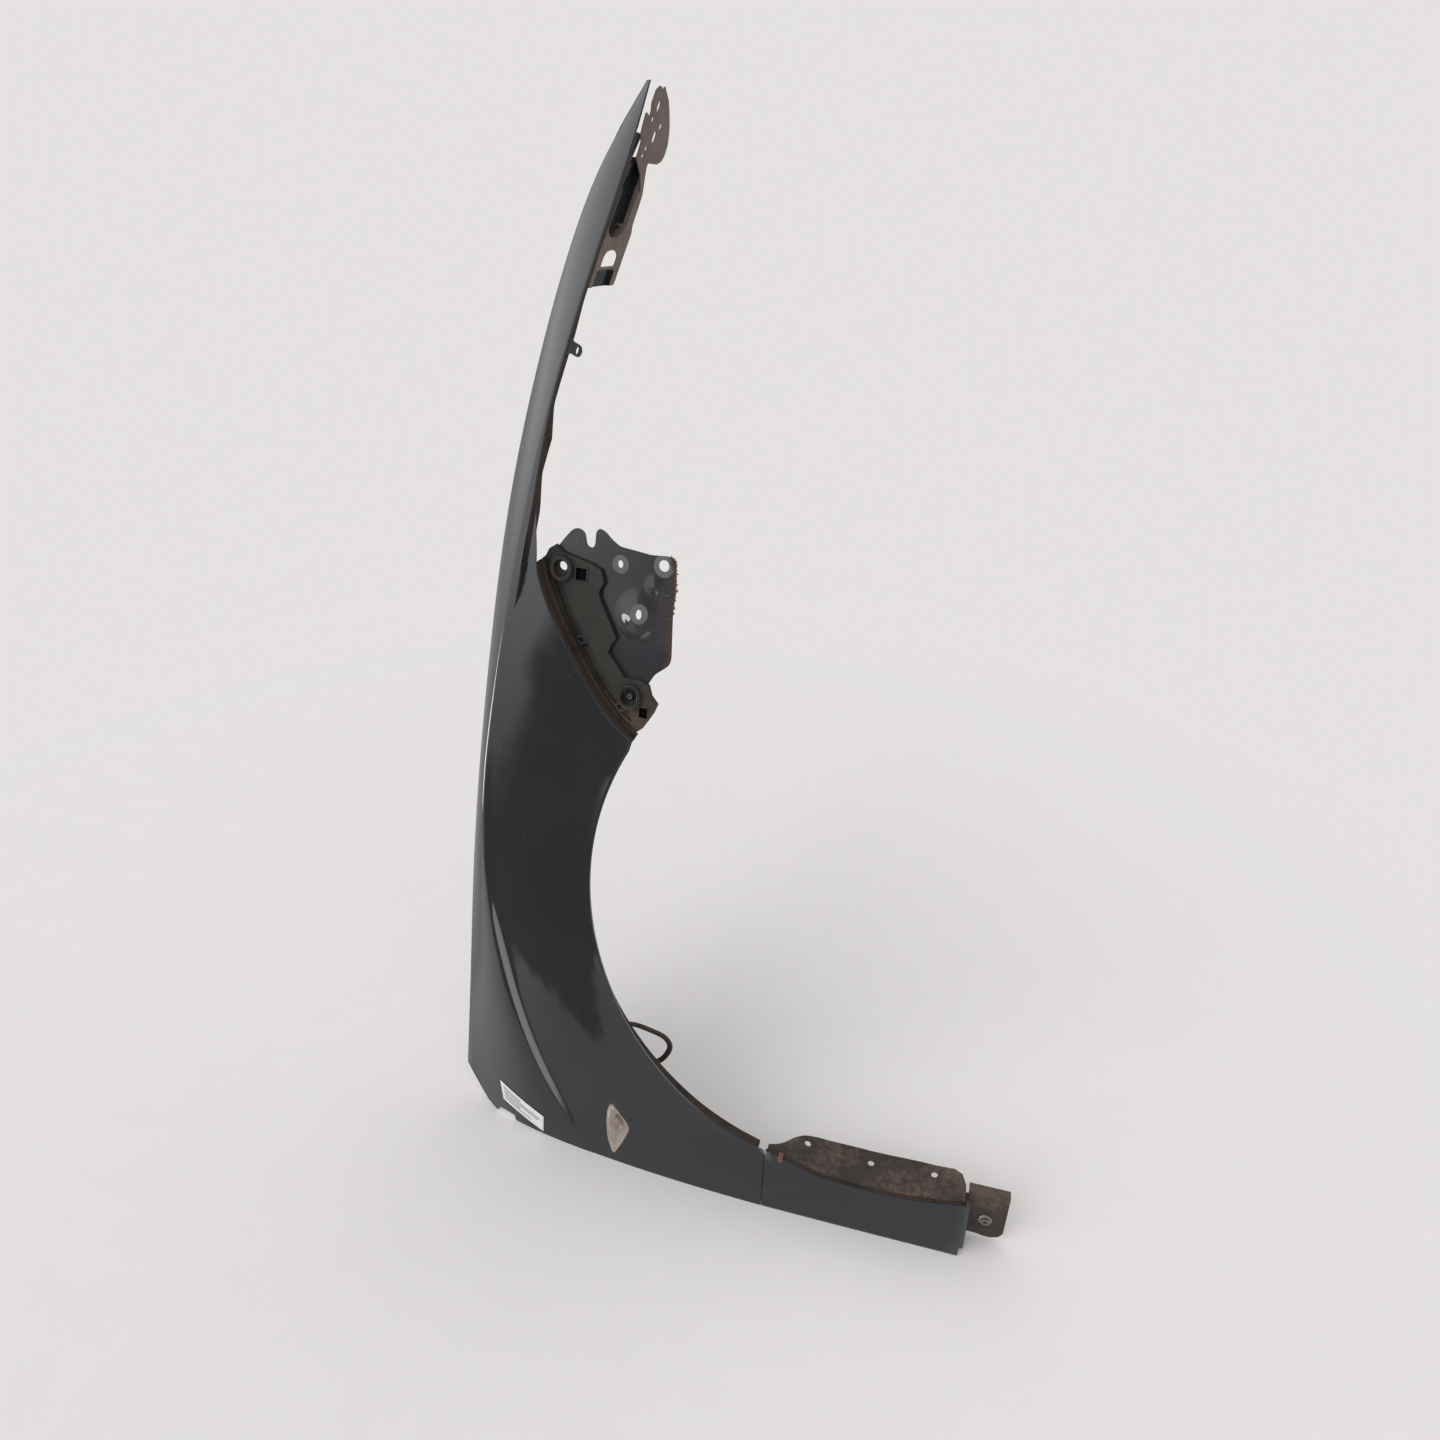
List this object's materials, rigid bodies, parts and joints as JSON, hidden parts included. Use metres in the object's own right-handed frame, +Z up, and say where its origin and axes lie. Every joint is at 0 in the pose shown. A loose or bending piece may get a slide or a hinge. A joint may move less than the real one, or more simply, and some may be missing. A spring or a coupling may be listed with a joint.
{
  "type": "car fender",
  "caption": "Right front car fender with a horn that runs over the headlamp, a wheel arch, a lower panel, a repeater lamp, and a bumper guide on a support plate.",
  "frame": {"origin": "underside of the second bolting pad from the door, on the flange beside the bonnet, 12 mm ahead of the pad's hole", "axes": "+X to the front of the car, +Z up, +Y inboard, to the left side of the car"},
  "size_m": [1.239, 0.4187, 0.7419],
  "materials": {
    "graphite_paint": "glossy graphite grey metallic paint, lightly scratched",
    "dirty_steel": "dull brown road dirt over primed sheet",
    "rusty_steel": "rusty spring steel",
    "primed_steel": "semi-gloss dark primer with dirt at the edge",
    "worn_zinc": "worn zinc with dirt",
    "grey_plastic": "dusty grey moulded plastic",
    "black_plastic": "black moulded plastic",
    "clear_lens": "clear ribbed lens with brown dust",
    "amber_bulb": "amber coated glass",
    "label_paper": "plain white paper"
  },
  "bodies": {
    "root": {"fender_skin": "graphite_paint", "lower_panel": "graphite_paint", "liner_panel": "dirty_steel", "liner_clip": "rusty_steel", "sill_foot": "dirty_steel", "foot_bolt": "worn_zinc", "support_plate": "primed_steel", "bumper_guide": "grey_plastic", "guide_plug": "black_plastic", "guide_screw": "worn_zinc", "horn_rail": "dirty_steel", "tip_bracket": "dirty_steel", "arch_strap": "dirty_steel", "repeater_lens": "clear_lens", "repeater_housing": "grey_plastic", "repeater_bulb": "amber_bulb", "paper_label": "label_paper"}
  },
  "joints": []
}
